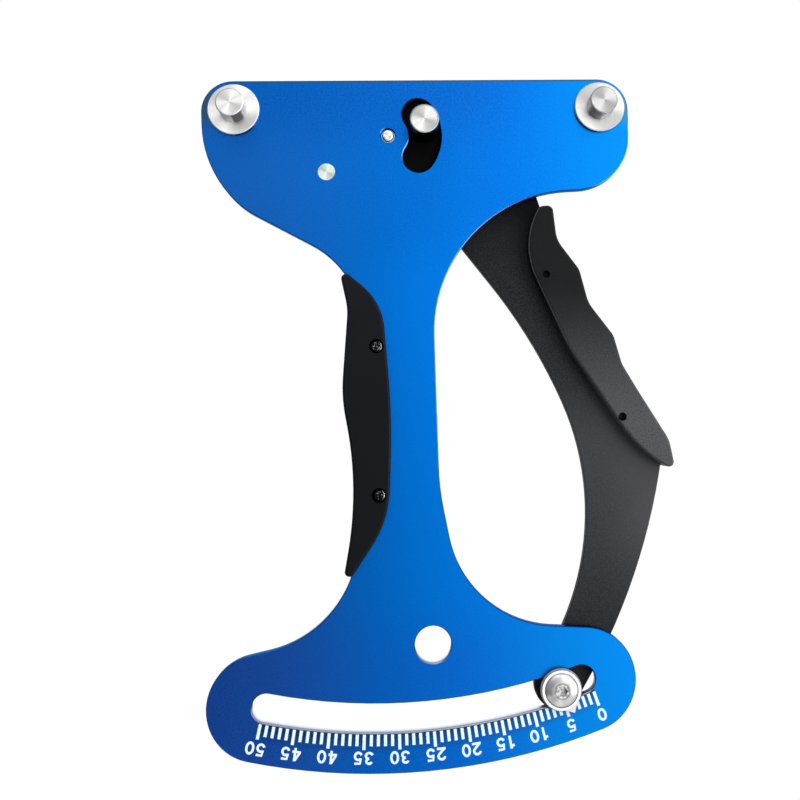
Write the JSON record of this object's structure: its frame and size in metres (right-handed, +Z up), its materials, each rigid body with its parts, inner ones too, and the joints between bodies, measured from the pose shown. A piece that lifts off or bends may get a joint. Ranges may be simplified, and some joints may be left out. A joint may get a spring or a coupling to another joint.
{
  "type": "spoke tension meter",
  "caption": "Hand-squeezed gauge for bicycle spoke tension: a flat plate with two posts, a sprung arm with a middle post, and a pointer that runs along a curved scale.",
  "frame": {"origin": "the middle of the handle, where the hand holds it, on the plate's front face", "axes": "+X runs towards the finger grip, along the line through the two fixed posts; -Y is the way that the printed face looks; +Z points up the handle to the head"},
  "size_m": [0.1514, 0.02, 0.2215],
  "materials": {
    "blue_anodised": "satin anodised",
    "black_coated": "fine matt black coating",
    "grip_black": "fine matt texture",
    "steel": "turned",
    "black_screw": "black oxide",
    "bronze": "sintered"
  },
  "bodies": {
    "frame": {"body_plate": "blue_anodised", "left_post": "steel", "left_post_washer": "steel", "left_post_screw": "steel", "right_post": "steel", "right_post_washer": "steel", "right_post_screw": "steel", "pivot_pin": "steel", "pivot_washer_front": "bronze", "pivot_washer_rear": "bronze", "pivot_clip": "black_screw", "spring_anchor": "steel", "palm_grip_front": "grip_black", "palm_grip_rear": "grip_black", "palm_grip_screws": "black_screw", "extension_spring": "steel"},
    "arm": {"arm_plate": "black_coated", "pivot_bushing": "bronze", "moving_post": "steel", "moving_post_washer": "steel", "moving_post_screw": "steel", "spring_hook_pin": "steel", "finger_grip_front": "grip_black", "finger_grip_rear": "grip_black", "finger_grip_screws": "black_screw", "pointer": "steel", "pointer_bush": "steel", "pointer_washer": "steel", "pointer_nut": "steel", "pointer_screw": "steel"}
  },
  "joints": [
    {"name": "arm_pivot", "type": "hinge", "parent": "frame", "child": "arm", "pos_m": [-0.0023, 0.005, 0.094], "axis": [0, 1, 0], "range_deg": [-2.4, 28.8], "stiffness_Nm_per_rad": 2, "springref_deg": -20.05, "deforming": ["extension_spring"]}
  ]
}
